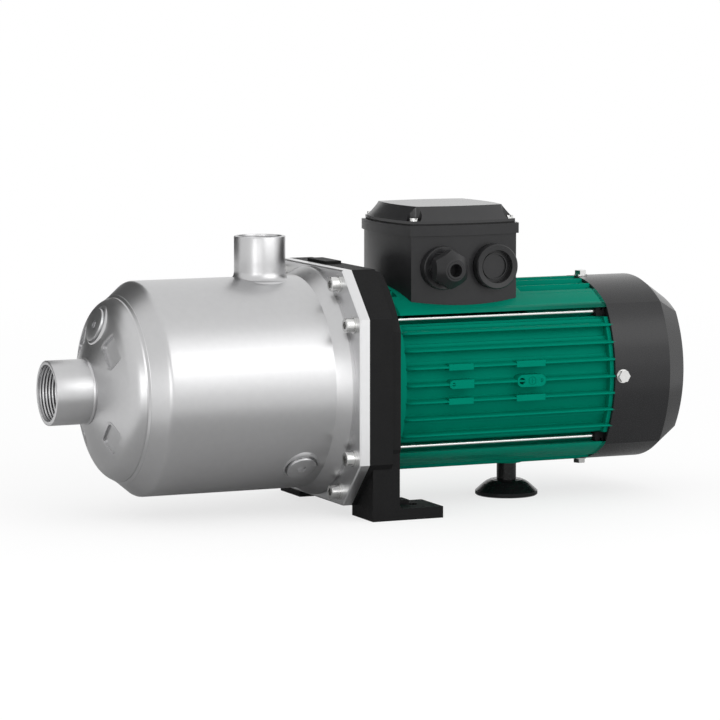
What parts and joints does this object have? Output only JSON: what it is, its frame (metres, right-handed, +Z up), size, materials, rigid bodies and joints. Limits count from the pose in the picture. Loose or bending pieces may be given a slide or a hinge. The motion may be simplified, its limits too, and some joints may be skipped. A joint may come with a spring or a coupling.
{
  "type": "horizontal multistage centrifugal pump",
  "caption": "Close-coupled horizontal multistage pump: drawn stainless casing, finned green motor, fan cover, terminal box, feet, and a full set of stages, seal and bearings inside",
  "frame": {"origin": "midpoint between the two foot bolts, on the base plane under the feet", "axes": "+X along the shaft from the suction port towards the fan, +Z up, +Y to the left of +X"},
  "size_m": [0.4761, 0.178, 0.218],
  "materials": {
    "stainless": "satin drawn stainless steel",
    "cast_steel": "machined stainless steel",
    "bright_steel": "bright plated steel",
    "bearing_steel": "ground bearing steel",
    "black_cast": "fine grained black painted casting",
    "green_paint": "green painted aluminium casting",
    "grey_cover": "satin dark grey coated sheet",
    "grey_box": "satin dark grey moulded plastic",
    "black_plastic": "black moulded plastic",
    "gloss_black": "glossy black moulded rubber and plastic",
    "rubber": "black sealing rubber",
    "ceramic": "ivory ceramic",
    "carbon": "carbon graphite",
    "copper": "varnished copper winding",
    "lamination": "stacked electrical sheet",
    "brass": "plain brass",
    "brown_resin": "brown moulded resin"
  },
  "bodies": {
    "pump_frame": {"pump_casing": "stainless", "suction_port": "stainless", "discharge_port": "stainless", "casing_flange": "stainless", "flange_screws": "bright_steel", "fill_boss": "stainless", "drain_boss": "stainless", "casing_o_ring": "rubber", "seal_plate": "cast_steel", "seal_seat": "ceramic", "inlet_plate": "cast_steel", "stage_casing_1": "cast_steel", "stage_casing_2": "cast_steel", "stage_casing_3": "cast_steel", "stage_casing_4": "cast_steel", "stage_casing_5": "cast_steel", "motor_bracket": "black_cast", "front_bearing_outer": "bearing_steel", "rear_bearing_outer": "bearing_steel", "stator_core": "lamination", "stator_windings": "copper", "motor_housing": "green_paint", "tie_rods": "bright_steel", "end_shield": "black_cast", "fan_cover": "grey_cover", "fan_cover_screws": "bright_steel", "support_stem": "gloss_black", "support_pad": "gloss_black", "terminal_box": "grey_box", "lid_gasket": "rubber", "terminal_block": "brown_resin", "terminal_studs": "brass", "gland_body": "black_plastic", "gland_nut": "grey_box", "gland_seal": "rubber", "blanking_plug": "black_plastic"},
    "rotor": {"shaft": "cast_steel", "impeller_1": "cast_steel", "impeller_2": "cast_steel", "impeller_3": "cast_steel", "impeller_4": "cast_steel", "impeller_5": "cast_steel", "impeller_nut": "cast_steel", "seal_head": "carbon", "seal_spring": "bright_steel", "slinger": "rubber", "front_bearing_inner": "bearing_steel", "rear_bearing_inner": "bearing_steel", "rotor_core": "lamination", "fan": "black_plastic"},
    "front_cage": {"front_bearing_balls": "bearing_steel"},
    "rear_cage": {"rear_bearing_balls": "bearing_steel"},
    "fill_plug_body": {"fill_plug": "stainless", "fill_plug_seal": "rubber"},
    "drain_plug_body": {"drain_plug": "stainless", "drain_plug_seal": "rubber"},
    "lid_body": {"box_lid": "grey_box", "lid_screws": "bright_steel"}
  },
  "joints": [
    {"name": "rotor_spin", "type": "hinge", "parent": "pump_frame", "child": "rotor", "pos_m": [0.07, 0, 0.0925], "axis": [1, 0, 0], "continuous": true},
    {"name": "front_cage_spin", "type": "hinge", "parent": "pump_frame", "child": "front_cage", "pos_m": [-0.015, 0, 0.0925], "axis": [1, 0, 0], "continuous": true},
    {"name": "rear_cage_spin", "type": "hinge", "parent": "pump_frame", "child": "rear_cage", "pos_m": [0.1555, 0, 0.0925], "axis": [1, 0, 0], "continuous": true},
    {"name": "fill_plug_out", "type": "slide", "parent": "pump_frame", "child": "fill_plug_body", "axis": [-0.9571, 0, 0.2897], "range_m": [0, 0.014]},
    {"name": "drain_plug_out", "type": "slide", "parent": "pump_frame", "child": "drain_plug_body", "axis": [0, -0.7071, -0.7071], "range_m": [0, 0.014]},
    {"name": "lid_lift", "type": "slide", "parent": "pump_frame", "child": "lid_body", "axis": [0, 0, 1], "range_m": [0, 0.04]}
  ],
  "couplings": [
    {"joint": "front_cage_spin", "follows": "rotor_spin", "ratio": 0.3791},
    {"joint": "rear_cage_spin", "follows": "rotor_spin", "ratio": 0.38}
  ]
}
